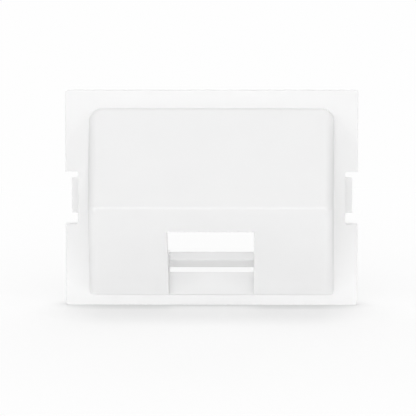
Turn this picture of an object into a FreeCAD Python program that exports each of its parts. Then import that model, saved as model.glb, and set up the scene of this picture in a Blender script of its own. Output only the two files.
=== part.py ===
"""Angled faceplate adapter: a snap-in flange with a hollow hood that holds one jack at a slant.

One moulded piece. Millimetres and degrees. X runs to the right as seen from the front, Y runs from
the front to the rear, Z is up. The origin is the centre of the flange's rear face, which seats on
the faceplate.
"""

import FreeCAD, Part
import Sketcher
import math
import os

# Driving dimensions
DIMENSIONS = {
    # flange that covers the faceplate's cut-out
    "flange_width": 50.0,
    "flange_height": 36.9,
    "flange_thickness": 2.4,
    "flange_corner": 0.4,
    "flange_edge": 0.15,
    # notches in the flange's sides, in front of the snap hooks
    "notch_depth": 2.1,
    "notch_height": 8.95,
    "notch_corner": 0.3,
    # hollow hood in front of the flange
    "hood_width": 41.9,
    "hood_bottom_margin": 1.95,
    "hood_top_margin": 3.1,
    "hood_foot_step": 1.1,
    "hood_top_step": 0.9,
    "hood_draft": 2.7,
    "hood_wall": 1.6,
    "hood_corner": 2.3,
    "hood_edge": 1.5,
    "ridge_edge": 0.3,
    # tilt of the hood's lower face, and so of the jack, from the flange
    "jack_tilt": 45.0,
    # aperture in the lower face and the catches behind it, along the jack's axis
    "aperture_width": 14.5,
    "aperture_height": 16.65,
    "aperture_brow": 6.2,
    "aperture_edge": 0.12,
    "catch_distance": 7.63,
    "catch_thickness": 1.8,
    "catch_drop": 2.05,
    "catch_edge": 0.3,
    "rib_distance": 8.0,
    "rib_thickness": 1.43,
    "rib_rise": 2.65,
    "cheek_thickness": 1.5,
    "cheek_margin": 0.38,
    # rim behind the flange that drops into the cut-out
    "ledge_width": 1.6,
    "rim_thickness": 1.2,
    "rim_depth": 2.8,
    "rim_gap": 14.0,
    "rim_corner": 0.8,
    # snap hooks that grip the cut-out's edge
    "ledge_thickness": 3.37,
    "latch_thickness": 1.3,
    "latch_height": 6.1,
    "latch_length": 8.4,
    "latch_reach": 1.42,
    "latch_land": 0.6,
    "latch_tip_inset": 0.5,
    "latch_root": 0.5,
}

# Places worked out from the driving dimensions, as expressions of the sheet
FLANGE_FRONT = "(-dims.flange_thickness)"
FLANGE_TOP = "(dims.flange_height / 2)"
FLANGE_BOTTOM = "(-dims.flange_height / 2)"
FLANGE_SIDE = "(dims.flange_width / 2)"
NOTCH_EDGE = f"({FLANGE_SIDE} - dims.notch_depth)"
NOTCH_END = "(dims.notch_height / 2)"
HOOD_SIDE = "(dims.hood_width / 2)"
HOOD_FOOT = f"({FLANGE_BOTTOM} + dims.hood_bottom_margin)"
HOOD_TOP = f"({FLANGE_TOP} - dims.hood_top_margin)"
FACE_START = f"({FLANGE_FRONT} - dims.hood_foot_step)"
SLOPE_END = f"({FLANGE_FRONT} - dims.hood_top_step)"
FACE_LENGTH = "(dims.aperture_height + dims.aperture_brow)"
HOOD_CLEAR = f"(2 * {FACE_LENGTH})"
FLOOR_EXIT = f"(-{FACE_START} / cos(dims.jack_tilt))"
CATCH_END = "(dims.catch_distance + dims.catch_thickness)"
RIB_END = "(dims.rib_distance + dims.rib_thickness)"
RIB_EDGE = "(dims.aperture_height + dims.rib_rise)"
CHEEK_RISE = f"({CATCH_END} * sin(dims.jack_tilt) + dims.cheek_margin)"
RIM_SIDE = NOTCH_EDGE
RIM_TOP = f"({FLANGE_TOP} - dims.ledge_width)"

# The slope's upper end, along the jack's axis and up the lower face, and the slope's lean from the axis
SLOPE_RUN = f"({SLOPE_END} - {FACE_START})"
SLOPE_CLIMB = f"({HOOD_TOP} - {HOOD_FOOT})"
SLOPE_IN = f"({SLOPE_RUN} * cos(dims.jack_tilt) + {SLOPE_CLIMB} * sin(dims.jack_tilt))"
SLOPE_UP = f"({SLOPE_CLIMB} * cos(dims.jack_tilt) - {SLOPE_RUN} * sin(dims.jack_tilt))"
SLOPE_LEAN = f"atan2({SLOPE_UP} - {FACE_LENGTH}; {SLOPE_IN})"

NODE_NAME = "angled_adapter"
TOLERANCE = 1e-4


def make_sheet(doc):
    """The spreadsheet of driving dimensions."""
    sheet = doc.addObject("Spreadsheet::Sheet", "dims")
    for row, (alias, value) in enumerate(DIMENSIONS.items(), start=1):
        sheet.set(f"A{row}", alias)
        sheet.set(f"B{row}", str(value))
        sheet.setAlias(f"B{row}", alias)
    doc.recompute()
    return sheet


def on_jack_axis(inward, upward):
    """Side-view place of a point given along the jack's axis and up the hood's lower face."""
    place_y = f"{FACE_START} + ({inward}) * cos(dims.jack_tilt) - ({upward}) * sin(dims.jack_tilt)"
    place_z = f"{HOOD_FOOT} + ({inward}) * sin(dims.jack_tilt) + ({upward}) * cos(dims.jack_tilt)"
    return place_y, place_z


def under_slope(inward, depth):
    """How far up the lower face a point lies that is this deep under the hood's slope."""
    return f"({FACE_LENGTH} + ({inward}) * tan({SLOPE_LEAN}) - ({depth}) / cos({SLOPE_LEAN}))"


def jack_box(start, end, low, high):
    """Side-view rectangle that is square to the jack's axis."""
    return [
        on_jack_axis(start, low),
        on_jack_axis(end, low),
        on_jack_axis(end, high),
        on_jack_axis(start, high),
    ]


def up_face_at(height, inward):
    """How far up the lower face a point lies that is this high above the hood's foot."""
    return f"({height} - ({inward}) * sin(dims.jack_tilt)) / cos(dims.jack_tilt)"


def measure(item, text):
    """The number that an expression of the sheet stands for."""
    return float(item.evalExpression(text))


def upright_box(left, right, low, high):
    return [(left, low), (right, low), (right, high), (left, high)]


def origin_plane(body, role):
    return next(item for item in body.Origin.OriginFeatures if item.Role == role)


def add_outline(sketch, outline):
    """A closed run of straight lines through corners given as pairs of expressions."""
    corners = [[measure(sketch, text) for text in pair] for pair in outline]
    points = [FreeCAD.Vector(across, upward, 0) for across, upward in corners]
    first = sketch.GeometryCount
    count = len(points)
    for index, point in enumerate(points):
        sketch.addGeometry(Part.LineSegment(point, points[(index + 1) % count]), False)
    for index in range(count):
        following = first + (index + 1) % count
        sketch.addConstraint(Sketcher.Constraint("Coincident", first + index, 2, following, 1))
    for index, pair in enumerate(outline):
        for kind, text, value in zip(("DistanceX", "DistanceY"), pair, corners[index]):
            constraint = Sketcher.Constraint(kind, -1, 1, first + index, 1, value)
            place = sketch.addConstraint(constraint)
            sketch.setExpression(f"Constraints[{place}]", text)


def add_sketch(body, name, role, outlines, offset=None):
    """A sketch on one of the body's own origin planes, whose corners follow the sheet."""
    sketch = body.newObject("Sketcher::SketchObject", name)
    sketch.AttachmentSupport = [(origin_plane(body, role), "")]
    sketch.MapMode = "FlatFace"
    if offset:
        sketch.setExpression(".AttachmentOffset.Base.z", offset)
    for outline in outlines:
        add_outline(sketch, outline)
    body.Document.recompute()
    return sketch


def add_extrusion(kind, body, sketch, length, side, reverse):
    feature = body.newObject(f"PartDesign::{kind}", f"{sketch.Name}_{kind.lower()}")
    feature.Profile = sketch
    feature.setExpression("Length", length)
    feature.SideType = side
    feature.Reversed = reverse
    body.Document.recompute()
    return feature


def pad(body, sketch, length, side="One side", reverse=False):
    return add_extrusion("Pad", body, sketch, length, side, reverse)


def pocket(body, sketch, length, side="One side"):
    """A pocket that has to take material away."""
    before = body.Tip.Shape.Volume
    feature = add_extrusion("Pocket", body, sketch, length, side, False)
    if not feature.Shape.Volume < before:
        raise RuntimeError(f"{feature.Name} cuts nothing")
    return feature


def mirror_sideways(body, feature):
    """The same feature on the other side of the middle plane."""
    mirror = body.newObject("PartDesign::Mirrored", f"{feature.Name}_mirrored")
    mirror.Originals = [feature]
    mirror.MirrorPlane = (origin_plane(body, "YZ_Plane"), [""])
    body.Tip = mirror
    body.Document.recompute()


def edge_names(shape, wanted):
    return [f"Edge{place}" for place, edge in enumerate(shape.Edges, start=1) if wanted(edge)]


def fillet(body, name, radius, wanted):
    """A fillet of one radius on the edges of the body's tip that are wanted."""
    base = body.Tip
    feature = body.newObject("PartDesign::Fillet", name)
    feature.Base = (base, edge_names(base.Shape, wanted))
    feature.setExpression("Radius", radius)
    body.Document.recompute()


def near(value, target):
    return abs(value - target) < TOLERANCE


def round_edges(doc, name, base, radius_of):
    """Rounds each edge of a finished form that is given a radius, all in one fillet."""
    edges = []
    for place, edge in enumerate(base.Shape.Edges, start=1):
        radius = radius_of(edge)
        if radius:
            edges.append((place, radius, radius))
    rounded = doc.addObject("Part::Fillet", name)
    rounded.Base = base
    rounded.Edges = edges
    doc.recompute()
    return rounded


def runs_along(edge, axis):
    """Whether an edge is straight and runs mainly along one of the axes."""
    start, end = edge.Vertexes[0].Point, edge.Vertexes[-1].Point
    return abs((end - start)[axis]) > 0.9 * edge.Length


def is_upper_side_edge(edge):
    """Whether an edge of a block runs from front to rear along its top."""
    return runs_along(edge, 1) and edge.CenterOfMass.z > 0


def lean_sides(body, name, side, start, depth):
    """Cuts a block's sides so that they lean inwards from its start towards the front."""
    front = f"({start} - {depth})"
    front_side = f"({side} - {depth} * tan(dims.hood_draft))"
    outside = "dims.flange_width"
    outline = [(side, start), (front_side, front), (outside, front), (outside, start)]
    lean = add_sketch(body, name, "XY_Plane", [outline])
    mirror_sideways(body, pocket(body, lean, "2 * dims.flange_height", "Symmetric"))


def make_flange(doc):
    """The flange with its side notches, the rim behind it and the two snap hooks."""
    body = doc.addObject("PartDesign::Body", "flange")
    outline = upright_box(f"-{FLANGE_SIDE}", FLANGE_SIDE, FLANGE_BOTTOM, FLANGE_TOP)
    plate = add_sketch(body, "plate", "XZ_Plane", [outline])
    pad(body, plate, "dims.flange_thickness")

    outline = upright_box(NOTCH_EDGE, "dims.flange_width", f"-{NOTCH_END}", NOTCH_END)
    notch = add_sketch(body, "notch", "XZ_Plane", [outline])
    mirror_sideways(body, pocket(body, notch, "4 * dims.flange_thickness", "Symmetric"))

    half_width = measure(body, FLANGE_SIDE)
    half_height = measure(body, FLANGE_TOP)
    notch_edge = measure(body, NOTCH_EDGE)
    front = measure(body, FLANGE_FRONT)

    def at_plate_corner(edge):
        middle = edge.CenterOfMass
        return near(abs(middle.x), half_width) and near(abs(middle.z), half_height)

    def at_notch_corner(edge):
        return runs_along(edge, 1) and near(abs(edge.CenterOfMass.x), notch_edge)

    def on_front(edge):
        return all(near(vertex.Point.y, front) for vertex in edge.Vertexes)

    fillet(body, "plate_corners", "dims.flange_corner", at_plate_corner)
    fillet(body, "notch_corners", "dims.notch_corner", at_notch_corner)
    fillet(body, "front_edge", "dims.flange_edge", on_front)
    add_rim(body)
    add_latches(body)
    return body


def add_rim(body):
    """The low rim that drops into the cut-out, left open beside the snap hooks."""
    inner_side = f"({RIM_SIDE} - dims.rim_thickness)"
    inner_top = f"({RIM_TOP} - dims.rim_thickness)"
    outer = upright_box(f"-{RIM_SIDE}", RIM_SIDE, f"-{RIM_TOP}", RIM_TOP)
    inner = upright_box(f"-{inner_side}", inner_side, f"-{inner_top}", inner_top)
    rim = add_sketch(body, "rim", "XZ_Plane", [outer, inner])
    pad(body, rim, "dims.rim_depth", reverse=True)

    half_gap = "(dims.rim_gap / 2)"
    gap_outline = upright_box("-dims.flange_width", "dims.flange_width", f"-{half_gap}", half_gap)
    gap = add_sketch(body, "rim_gaps", "XZ_Plane", [gap_outline])
    pocket(body, gap, "2 * dims.rim_depth")

    corner_x = measure(body, RIM_SIDE)
    corner_z = measure(body, RIM_TOP)

    def at_rim_corner(edge):
        middle = edge.CenterOfMass
        return near(abs(middle.x), corner_x) and near(abs(middle.z), corner_z)

    fillet(body, "rim_corners", "dims.rim_corner", at_rim_corner)


def add_latches(body):
    """A springy arm with a hook behind each notch."""
    inner_face = f"({NOTCH_EDGE} - dims.latch_thickness)"
    hook_tip = f"({NOTCH_EDGE} + dims.latch_reach)"
    arm_tip = f"({NOTCH_EDGE} - dims.latch_tip_inset)"
    hook_peak = "(dims.ledge_thickness + dims.latch_land)"
    root = f"({FLANGE_FRONT} / 2)"
    outline = [
        (inner_face, root),
        (NOTCH_EDGE, root),
        (NOTCH_EDGE, "dims.ledge_thickness"),
        (hook_tip, "dims.ledge_thickness"),
        (hook_tip, hook_peak),
        (arm_tip, "dims.latch_length"),
        (inner_face, "dims.latch_length"),
    ]
    latch = add_sketch(body, "latch", "XY_Plane", [outline])
    mirror_sideways(body, pad(body, latch, "dims.latch_height", "Symmetric"))

    root_x = measure(body, inner_face)

    def at_latch_root(edge):
        middle = edge.CenterOfMass
        return runs_along(edge, 2) and near(abs(middle.x), root_x) and near(middle.y, 0)

    fillet(body, "latch_roots", "dims.latch_root", at_latch_root)


def make_hood_form(doc):
    """The hood as a solid block: drafted sides, a slope above the ridge and the jack's face below it."""
    body = doc.addObject("PartDesign::Body", "hood_form")
    outline = upright_box(f"-{HOOD_SIDE}", HOOD_SIDE, HOOD_FOOT, HOOD_TOP)
    base = add_sketch(body, "hood_base", "XZ_Plane", [outline], "dims.flange_thickness")
    pad(body, base, HOOD_CLEAR)
    lean_sides(body, "hood_sides", HOOD_SIDE, FLANGE_FRONT, HOOD_CLEAR)
    fillet(body, "hood_corners", "dims.hood_corner", is_upper_side_edge)

    far_front = f"({FLANGE_FRONT} - 2 * {HOOD_CLEAR})"
    above = f"({HOOD_TOP} + dims.hood_wall)"
    below = f"({HOOD_FOOT} - dims.hood_wall)"
    faces = [
        (FACE_START, below),
        (FACE_START, HOOD_FOOT),
        on_jack_axis("0", FACE_LENGTH),
        (SLOPE_END, HOOD_TOP),
        (SLOPE_END, above),
        (far_front, above),
        (far_front, below),
    ]
    trim = add_sketch(body, "hood_faces", "YZ_Plane", [faces])
    pocket(body, trim, "2 * dims.hood_width", "Symmetric")
    return body


def round_hood(doc, sheet, hood_form):
    """Rounds the hood's top and side edges, and less so its ridge, in one fillet."""
    front = measure(hood_form, FLANGE_FRONT)
    ridge_y = measure(hood_form, on_jack_axis("0", FACE_LENGTH)[0])
    foot_z = measure(hood_form, HOOD_FOOT)

    def is_ridge(edge):
        return runs_along(edge, 0) and near(edge.CenterOfMass.y, ridge_y)

    def is_rounded(edge):
        on_flange = all(near(vertex.Point.y, front) for vertex in edge.Vertexes)
        at_foot = edge.CenterOfMass.z < foot_z + sheet.hood_foot_step / 2
        return not on_flange and not at_foot and not runs_along(edge, 1) and not is_ridge(edge)

    def radius_of(edge):
        if is_ridge(edge):
            return sheet.ridge_edge
        return sheet.hood_edge if is_rounded(edge) else None

    return round_edges(doc, "hood_rounded", hood_form, radius_of)


def make_hollow_form(doc):
    """The space inside the hood, open at the rear, one wall inside the hood's own faces."""
    body = doc.addObject("PartDesign::Body", "hollow_form")
    side = f"({HOOD_SIDE} - dims.hood_wall)"
    top = f"({HOOD_TOP} - dims.hood_wall)"
    floor = f"({HOOD_FOOT} + dims.hood_wall)"
    outline = upright_box(f"-{side}", side, floor, top)
    base = add_sketch(body, "hollow_base", "XZ_Plane", [outline])
    pad(body, base, HOOD_CLEAR)
    lean_sides(body, "hollow_sides", side, "0", HOOD_CLEAR)
    fillet(body, "hollow_corners", "dims.hood_corner - dims.hood_wall", is_upper_side_edge)

    wall = "dims.hood_wall"
    far_front = f"({FLANGE_FRONT} - {HOOD_CLEAR})"
    foot_y, foot_z = on_jack_axis(wall, "0")
    slope_y, slope_z = on_jack_axis(SLOPE_IN, under_slope(SLOPE_IN, wall))
    faces = [
        (foot_y, foot_z),
        on_jack_axis(wall, under_slope(wall, wall)),
        (slope_y, slope_z),
        (slope_y, HOOD_TOP),
        (far_front, HOOD_TOP),
        (far_front, foot_z),
    ]
    trim = add_sketch(body, "hollow_faces", "YZ_Plane", [faces])
    pocket(body, trim, "2 * dims.hood_width", "Symmetric")
    return body


def make_receptacle(doc):
    """The sloping sill under the jack and the lower catch bar, carried by a cheek at each end."""
    body = doc.addObject("PartDesign::Body", "receptacle")
    bar_outline = jack_box("dims.catch_distance", CATCH_END, "-dims.catch_drop", "0")
    bar = add_sketch(body, "catch_bar", "YZ_Plane", [bar_outline])
    pad(body, bar, "dims.aperture_width + dims.cheek_thickness", "Symmetric")

    edge_y, edge_z = [measure(body, text) for text in on_jack_axis("dims.catch_distance", "0")]

    def is_upper_front_edge(edge):
        middle = edge.CenterOfMass
        return runs_along(edge, 0) and near(middle.y, edge_y) and near(middle.z, edge_z)

    fillet(body, "catch_bar_edge", "dims.catch_edge", is_upper_front_edge)

    in_wall = "dims.hood_wall / 2"
    sill_foot = f"{HOOD_FOOT} + {in_wall}"
    sill_outline = [
        on_jack_axis(in_wall, "0"),
        on_jack_axis(FLOOR_EXIT, "0"),
        ("0", sill_foot),
        (FLANGE_FRONT, sill_foot),
    ]
    sill = add_sketch(body, "sill", "YZ_Plane", [sill_outline])
    pad(body, sill, "dims.aperture_width + 2 * dims.cheek_thickness", "Symmetric")

    cheek_outline = [
        on_jack_axis(in_wall, "-dims.catch_drop"),
        on_jack_axis(CATCH_END, "-dims.catch_drop"),
        on_jack_axis(CATCH_END, up_face_at(CHEEK_RISE, CATCH_END)),
        on_jack_axis(in_wall, up_face_at(CHEEK_RISE, in_wall)),
    ]
    cheek = add_sketch(body, "cheek", "YZ_Plane", [cheek_outline], "dims.aperture_width / 2")
    mirror_sideways(body, pad(body, cheek, "dims.cheek_thickness"))
    return body


def make_upper_catch(doc):
    """The rib under the hood's slope that the jack's spring latch snaps behind."""
    body = doc.addObject("PartDesign::Body", "upper_catch")
    in_wall = "dims.hood_wall / 2"
    outline = [
        on_jack_axis("dims.rib_distance", RIB_EDGE),
        on_jack_axis(RIB_END, RIB_EDGE),
        on_jack_axis(RIB_END, under_slope(RIB_END, in_wall)),
        on_jack_axis("dims.rib_distance", under_slope("dims.rib_distance", in_wall)),
    ]
    rib = add_sketch(body, "catch_rib", "YZ_Plane", [outline])
    pad(body, rib, "dims.aperture_width", "Symmetric")
    return body


def make_aperture_form(doc):
    """The jack's way in: through the lower face and down to the sloping floor of the flange."""
    body = doc.addObject("PartDesign::Body", "aperture_form")
    past_floor = f"({FLOOR_EXIT} + dims.catch_distance) / 2"
    outline = jack_box("-dims.hood_wall", past_floor, "0", "dims.aperture_height")
    opening = add_sketch(body, "aperture", "YZ_Plane", [outline])
    pad(body, opening, "dims.aperture_width", "Symmetric")
    return body


def round_mouth(doc, sheet, adapter):
    """Breaks the aperture's outer edge, apart from its foot, where the sloping floor starts."""
    tilt = math.radians(sheet.jack_tilt)
    start_y = measure(adapter, FACE_START)
    foot_z = measure(adapter, HOOD_FOOT)
    half_width = sheet.aperture_width / 2

    def inward(point):
        return (point.y - start_y) * math.cos(tilt) + (point.z - foot_z) * math.sin(tilt)

    def radius_of(edge):
        points = [vertex.Point for vertex in edge.Vertexes]
        on_face = all(near(inward(point), 0) for point in points)
        in_mouth = all(abs(point.x) < half_width + TOLERANCE for point in points)
        above_foot = edge.CenterOfMass.z > foot_z + TOLERANCE
        return sheet.aperture_edge if on_face and in_mouth and above_foot else None

    return round_edges(doc, "mouth_rounded", adapter, radius_of)


def join(doc, name, pieces):
    joined = doc.addObject("Part::MultiFuse", name)
    joined.Shapes = pieces
    doc.recompute()
    return joined


def cut(doc, name, base, tool):
    """A cut that has to take material away."""
    result = doc.addObject("Part::Cut", name)
    result.Base = base
    result.Tool = tool
    result.Refine = True
    doc.recompute()
    if not result.Shape.Volume < base.Shape.Volume:
        raise RuntimeError(f"{name} cuts nothing")
    return result


def make_adapter(doc, sheet):
    """Joins the forms into the one moulded piece."""
    hood = round_hood(doc, sheet, make_hood_form(doc))
    outside = join(doc, "outside", [make_flange(doc), hood])
    shell = cut(doc, "shell", outside, make_hollow_form(doc))
    carrier = join(doc, "carrier", [shell, make_receptacle(doc), make_upper_catch(doc)])
    opened = cut(doc, "opened", carrier, make_aperture_form(doc))
    adapter = round_mouth(doc, sheet, opened)
    adapter.Label = NODE_NAME
    return adapter


def check_document(doc):
    for item in doc.Objects:
        if "Invalid" in item.State or "Error" in item.State:
            raise RuntimeError(f"{item.Label} failed: {item.State}")


def export(piece):
    shape = piece.Shape
    if shape.isNull() or not shape.isValid() or len(shape.Solids) != 1:
        raise RuntimeError(f"{piece.Label} is not one valid solid")
    os.makedirs("parts", exist_ok=True)
    shape.exportStep(f"parts/{piece.Label}.step")
    print(f"{piece.Label}: {shape.Volume:.1f} mm3, {len(shape.Faces)} faces, {shape.BoundBox}")


def main():
    doc = FreeCAD.newDocument("angled_faceplate_adapter")
    sheet = make_sheet(doc)
    adapter = make_adapter(doc, sheet)
    doc.recompute()
    check_document(doc)
    export(adapter)


main()
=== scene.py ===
import math
from collections import namedtuple

import bmesh
import bpy
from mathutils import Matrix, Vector


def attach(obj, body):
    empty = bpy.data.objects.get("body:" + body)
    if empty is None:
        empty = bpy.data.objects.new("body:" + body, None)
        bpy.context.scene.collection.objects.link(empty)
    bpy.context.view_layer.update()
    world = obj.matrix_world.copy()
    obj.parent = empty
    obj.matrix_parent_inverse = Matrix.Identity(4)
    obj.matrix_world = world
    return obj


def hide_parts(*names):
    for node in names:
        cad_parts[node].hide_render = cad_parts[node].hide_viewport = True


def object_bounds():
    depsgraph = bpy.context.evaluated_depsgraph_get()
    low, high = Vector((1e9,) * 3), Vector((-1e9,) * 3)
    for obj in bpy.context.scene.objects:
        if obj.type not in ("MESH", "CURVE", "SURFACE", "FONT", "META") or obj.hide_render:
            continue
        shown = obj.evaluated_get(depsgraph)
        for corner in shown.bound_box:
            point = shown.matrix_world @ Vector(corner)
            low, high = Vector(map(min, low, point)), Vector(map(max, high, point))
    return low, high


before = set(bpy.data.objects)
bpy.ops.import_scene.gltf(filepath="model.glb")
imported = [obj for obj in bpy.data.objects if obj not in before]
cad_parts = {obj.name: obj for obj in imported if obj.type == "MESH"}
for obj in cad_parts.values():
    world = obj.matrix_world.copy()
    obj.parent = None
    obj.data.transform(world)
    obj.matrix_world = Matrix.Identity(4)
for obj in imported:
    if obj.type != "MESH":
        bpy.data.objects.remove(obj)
cad_low, cad_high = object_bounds()

ADAPTER = "angled_adapter"
MM = 0.001
UP = Vector((0.0, 0.0, 1.0))
WHITE = (1.0, 1.0, 1.0, 1.0)

# Camera, as fitted to the photograph's edges
FRAME_PIXELS = 416
FOCAL_PIXELS = 2465.0
SENSOR_WIDTH = 36.0
CLIP_START = 10.0 * MM
FLANGE_THICKNESS = 2.4 * MM
CAMERA_DISTANCE = 422.0 * MM
CAMERA_RISE = math.radians(4.58)
CAMERA_TURN = math.radians(0.78)
AIM_LEFT = 0.603 * MM
AIM_DOWN = 1.721 * MM

# White plastic: an even tone with faint flow marks, an uneven sheen and a fine satin grain
PLASTIC_TONE = 0.9
FLOW_MARK_TONE = 0.012
FLOW_MARKS_PER_METRE = 120.0
SATIN_LOW, SATIN_HIGH = 0.6, 0.8
SATIN_PATCHES_PER_METRE = 350.0
GRAINS_PER_METRE = 5000.0
GRAIN_DEPTH = 0.01 * MM
GRAIN_STRENGTH = 0.15
PLASTIC_SPECULAR = 0.25

# Smooth shading of the moulding
MERGE_DISTANCE = 0.001 * MM
SMOOTH_ANGLE = math.radians(20.0)

# Backdrop and floor: how the camera sees them, and the faint light they give the object; the floor's glow
# toward the object is painted light, as the floor is no lamp
BACKGROUND = 0.991
AMBIENT = 0.18
FLOOR_SIZE = 6.0
FLOOR_TONE = 0.95
FLOOR_PAINTED_GLOW = 0.1
FLOOR_SEEN_TONE = 0.35
FLOOR_SEEN_GLOW = 0.725
FLOOR_FADE_START = 100.0 * MM
FLOOR_FADE_END = 260.0 * MM

# The object's shadow painted on the floor from how much sky it hides: a wide soft one, and a narrow one
# where it touches
SHADOW_REACH = 200.0 * MM
SHADOW_DEPTH = 0.24
SHADOW_LEAN_BEFORE = 1.7
SHADOW_LEAN_BEHIND = -1.2
SHADOW_TURN = 30.0 * MM
CONTACT_REACH = 5.0 * MM
CONTACT_DEPTH = 0.25

# Softboxes round the object, turned from its front to the right and raised, in degrees and metres
Softbox = namedtuple("Softbox", "name turn rise distance width height watts")
SOFTBOXES = [
    Softbox("front_key", -0.5, 11.0, 1.0, 0.3, 0.2, 1.85),
    Softbox("front_left", -20.0, 8.0, 1.0, 0.3, 0.2, 0.6),
    Softbox("front_right", 20.0, 8.0, 1.0, 0.3, 0.2, 0.55),
    Softbox("front_high", 0.0, 45.0, 1.0, 0.6, 0.4, 0.95),
    Softbox("key_left", -39.0, 9.5, 1.0, 0.13, 0.13, 0.92),
    Softbox("key_right", 39.0, 9.5, 1.0, 0.13, 0.13, 0.8),
    Softbox("rim_left", -75.0, 24.0, 1.0, 0.3, 0.3, 0.76),
    Softbox("rim_right", 75.0, 24.0, 1.0, 0.3, 0.3, 0.8),
    Softbox("overhead", 0.0, 89.0, 1.0, 0.3, 0.3, 1.2),
    Softbox("overhead_rear", 180.0, 70.0, 1.0, 0.4, 0.4, 2.2),
    Softbox("back_wall", 180.0, 14.0, 1.2, 0.8, 0.5, 4.6),
]


def direction(turn, rise):
    """The way from the object to a place that is turned from its front to the right, and raised."""
    ahead = -math.cos(turn) * math.cos(rise)
    return Vector((math.sin(turn) * math.cos(rise), ahead, math.sin(rise)))


def add_object(name, data):
    thing = bpy.data.objects.new(name, data)
    bpy.context.scene.collection.objects.link(thing)
    return thing


def look_from(thing, eye, ahead):
    """Puts a camera or a lamp at the eye and turns it to look ahead."""
    thing.location = eye
    thing.rotation_euler = ahead.to_track_quat("-Z", "Y").to_euler()


def point_camera():
    """Places the camera in front of the flange, a little above it and to its right."""
    flange_front = Vector((0.0, -FLANGE_THICKNESS, 0.0))
    toward = direction(CAMERA_TURN, CAMERA_RISE)
    eye = flange_front + toward * CAMERA_DISTANCE
    picture_right = UP.cross(toward).normalized()
    picture_up = toward.cross(picture_right)
    aim = flange_front - picture_right * AIM_LEFT - picture_up * AIM_DOWN

    lens = bpy.data.cameras.new("camera")
    lens.sensor_width = SENSOR_WIDTH
    lens.lens = FOCAL_PIXELS / FRAME_PIXELS * SENSOR_WIDTH
    lens.clip_start = CLIP_START
    camera = add_object("camera", lens)
    look_from(camera, eye, aim - eye)
    bpy.context.scene.camera = camera


def new_material(name):
    material = bpy.data.materials.new(name)
    material.use_nodes = True
    material.node_tree.nodes.clear()
    return material


def spread(nodes, links, value, low, high, start=0.0, end=1.0, curve="LINEAR"):
    """Maps a value that runs from start to end onto the run from low to high."""
    node = nodes.new("ShaderNodeMapRange")
    node.interpolation_type = curve
    node.inputs["From Min"].default_value = start
    node.inputs["From Max"].default_value = end
    node.inputs["To Min"].default_value = low
    node.inputs["To Max"].default_value = high
    links.new(value, node.inputs["Value"])
    return node.outputs["Result"]


def combine(nodes, links, operation, first, second):
    """Makes one value of two by a step of arithmetic."""
    node = nodes.new("ShaderNodeMath")
    node.operation = operation
    links.new(first, node.inputs[0])
    links.new(second, node.inputs[1])
    return node.outputs["Value"]


def mix(nodes, links, share, first, second):
    """Blends two shaders: the first at a share of 0, the second at 1."""
    node = nodes.new("ShaderNodeMixShader")
    links.new(share, node.inputs["Fac"])
    links.new(first, node.inputs[1])
    links.new(second, node.inputs[2])
    return node.outputs["Shader"]


def object_place(nodes):
    """The point of the surface, measured from its own object's origin."""
    return nodes.new("ShaderNodeTexCoord").outputs["Object"]


def noise(nodes, links, place, per_metre):
    node = nodes.new("ShaderNodeTexNoise")
    node.inputs["Scale"].default_value = per_metre
    links.new(place, node.inputs["Vector"])
    return node.outputs["Fac"]


def white_plastic():
    """Satin moulded plastic: faint flow marks in its tone, an uneven sheen and a fine grain."""
    material = new_material("white_plastic")
    nodes, links = material.node_tree.nodes, material.node_tree.links
    place = object_place(nodes)
    plastic = nodes.new("ShaderNodeBsdfPrincipled")
    plastic.inputs["Specular IOR Level"].default_value = PLASTIC_SPECULAR

    flow = noise(nodes, links, place, FLOW_MARKS_PER_METRE)
    tone = spread(nodes, links, flow, PLASTIC_TONE - FLOW_MARK_TONE, PLASTIC_TONE + FLOW_MARK_TONE)
    links.new(tone, plastic.inputs["Base Color"])

    patches = noise(nodes, links, place, SATIN_PATCHES_PER_METRE)
    links.new(spread(nodes, links, patches, SATIN_LOW, SATIN_HIGH), plastic.inputs["Roughness"])

    grain = nodes.new("ShaderNodeBump")
    grain.inputs["Strength"].default_value = GRAIN_STRENGTH
    grain.inputs["Distance"].default_value = GRAIN_DEPTH
    links.new(noise(nodes, links, place, GRAINS_PER_METRE), grain.inputs["Height"])
    links.new(grain.outputs["Normal"], plastic.inputs["Normal"])

    output = nodes.new("ShaderNodeOutputMaterial")
    links.new(plastic.outputs["BSDF"], output.inputs["Surface"])
    return material


def moulding_mesh():
    """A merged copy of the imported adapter's mesh whose curved faces are shaded smooth."""
    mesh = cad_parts[ADAPTER].data.copy()
    mesh.name = "moulding"
    mesh.attributes.remove(mesh.attributes["custom_normal"])
    work = bmesh.new()
    work.from_mesh(mesh)
    bmesh.ops.remove_doubles(work, verts=work.verts, dist=MERGE_DISTANCE)
    work.to_mesh(mesh)
    work.free()
    mesh.shade_smooth()
    mesh.set_sharp_from_angle(angle=SMOOTH_ANGLE)
    mesh.materials.clear()
    mesh.materials.append(white_plastic())
    return mesh


def make_moulding():
    """Shows the adapter in white plastic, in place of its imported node."""
    moulding = add_object("moulding", moulding_mesh())
    normals = moulding.modifiers.new("flat_faces_stay_flat", "WEIGHTED_NORMAL")
    normals.keep_sharp = True
    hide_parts(ADAPTER)
    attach(moulding, "root")


def seen_directly(nodes, links):
    """Gives 1 where the camera sees a surface, also in a reflection or through glass, and 0 elsewhere."""
    path = nodes.new("ShaderNodeLightPath")
    seen = path.outputs["Is Camera Ray"]
    for kind in ("Is Glossy Ray", "Is Transmission Ray"):
        seen = combine(nodes, links, "MAXIMUM", seen, path.outputs[kind])
    return seen


def lit_surface(nodes, links):
    """A matte surface that also glows a little; gives its colour and strength sockets and its output."""
    matte = nodes.new("ShaderNodeBsdfDiffuse")
    glow = nodes.new("ShaderNodeEmission")
    both = nodes.new("ShaderNodeAddShader")
    links.new(matte.outputs["BSDF"], both.inputs[0])
    links.new(glow.outputs["Emission"], both.inputs[1])
    return matte.inputs["Color"], glow.inputs["Strength"], both.outputs["Shader"]


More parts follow.
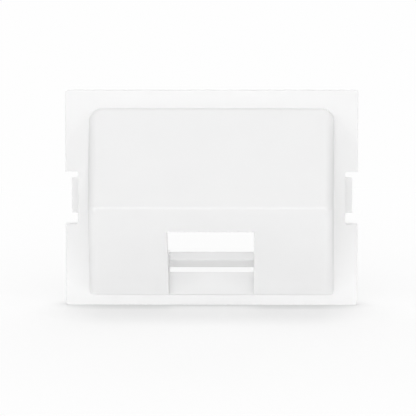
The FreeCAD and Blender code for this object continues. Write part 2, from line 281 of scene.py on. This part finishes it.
def floor_fade(nodes, links):
    """Rises from 0 near the object to 1 where the floor has become the backdrop."""
    reach = nodes.new("ShaderNodeVectorMath")
    reach.operation = "LENGTH"
    links.new(object_place(nodes), reach.inputs[0])
    distance = reach.outputs["Value"]
    return spread(nodes, links, distance, 0.0, 1.0, FLOOR_FADE_START, FLOOR_FADE_END, "SMOOTHSTEP")


def open_sky(nodes, reach):
    """A node whose output falls from 1 toward 0 where the object hides the sky within this reach."""
    node = nodes.new("ShaderNodeAmbientOcclusion")
    node.inputs["Distance"].default_value = reach
    return node


def shadow_lean(nodes, links):
    """The way to look for the object from the floor: up, and back before it or forward behind it."""
    parts = nodes.new("ShaderNodeSeparateXYZ")
    links.new(object_place(nodes), parts.inputs["Vector"])
    depth = parts.outputs["Y"]
    lean = nodes.new("ShaderNodeCombineXYZ")
    lean.inputs["Z"].default_value = 1.0
    turned = spread(nodes, links, depth, SHADOW_LEAN_BEFORE, SHADOW_LEAN_BEHIND, -SHADOW_TURN, SHADOW_TURN)
    links.new(turned, lean.inputs["Y"])
    unit = nodes.new("ShaderNodeVectorMath")
    unit.operation = "NORMALIZE"
    links.new(lean.outputs["Vector"], unit.inputs[0])
    return unit.outputs["Vector"]


def painted_object_shadow(nodes, links):
    """Painted shadow: the share of light left on the floor, less before and behind the object and least at
    its foot, taken from how much sky the object hides.
    """
    wide = open_sky(nodes, SHADOW_REACH)
    links.new(shadow_lean(nodes, links), wide.inputs["Normal"])
    contact = open_sky(nodes, CONTACT_REACH)
    wide_share = spread(nodes, links, wide.outputs["AO"], 1.0 - SHADOW_DEPTH, 1.0)
    contact_share = spread(nodes, links, contact.outputs["AO"], 1.0 - CONTACT_DEPTH, 1.0)
    return combine(nodes, links, "MULTIPLY", wide_share, contact_share)


def pale_floor():
    """White where the camera sees it, with a painted soft shadow of the object; for the light a pale matte
    with a painted glow that lights the object from below.
    """
    material = new_material("pale_floor")
    nodes, links = material.node_tree.nodes, material.node_tree.links
    output = nodes.new("ShaderNodeOutputMaterial")

    plain_colour, plain_strength, plain = lit_surface(nodes, links)
    plain_colour.default_value = (FLOOR_TONE, FLOOR_TONE, FLOOR_TONE, 1.0)
    # Painted light: the pale floor glows faintly toward the object though it is no lamp
    plain_strength.default_value = FLOOR_PAINTED_GLOW

    # Painted shadow: the floor's seen colour and glow are darkened where the object hides the sky
    shadow = painted_object_shadow(nodes, links)
    seen_colour, seen_strength, near = lit_surface(nodes, links)
    links.new(spread(nodes, links, shadow, 0.0, FLOOR_SEEN_TONE), seen_colour)
    links.new(spread(nodes, links, shadow, 0.0, FLOOR_SEEN_GLOW), seen_strength)
    far = nodes.new("ShaderNodeEmission")
    far.inputs["Strength"].default_value = BACKGROUND
    white = mix(nodes, links, floor_fade(nodes, links), near, far.outputs["Emission"])

    links.new(mix(nodes, links, seen_directly(nodes, links), plain, white), output.inputs["Surface"])
    return material


def add_floor():
    """A wide floor at the height of the object's foot."""
    bpy.ops.mesh.primitive_plane_add(size=FLOOR_SIZE, location=(0.0, 0.0, cad_low[2]))
    floor = bpy.context.object
    floor.name = "floor"
    floor.data.materials.append(pale_floor())


def add_softbox(box):
    """An area lamp that faces the object."""
    light = bpy.data.lights.new(box.name, "AREA")
    light.shape = "RECTANGLE"
    light.size = box.width
    light.size_y = box.height
    light.energy = box.watts
    toward = direction(math.radians(box.turn), math.radians(box.rise))
    look_from(add_object(box.name, light), toward * box.distance, -toward)


def light_world():
    """A white backdrop for the camera and a faint even light for the object."""
    world = bpy.data.worlds.new("studio")
    bpy.context.scene.world = world
    world.use_nodes = True
    nodes, links = world.node_tree.nodes, world.node_tree.links
    nodes.clear()
    output = nodes.new("ShaderNodeOutputWorld")
    backdrop = nodes.new("ShaderNodeBackground")
    backdrop.inputs["Color"].default_value = WHITE
    strength = spread(nodes, links, seen_directly(nodes, links), AMBIENT, BACKGROUND)
    links.new(strength, backdrop.inputs["Strength"])
    links.new(backdrop.outputs["Background"], output.inputs["Surface"])


bpy.context.scene.view_settings.view_transform = "Standard"
point_camera()
add_floor()
light_world()
for softbox in SOFTBOXES:
    add_softbox(softbox)
make_moulding()
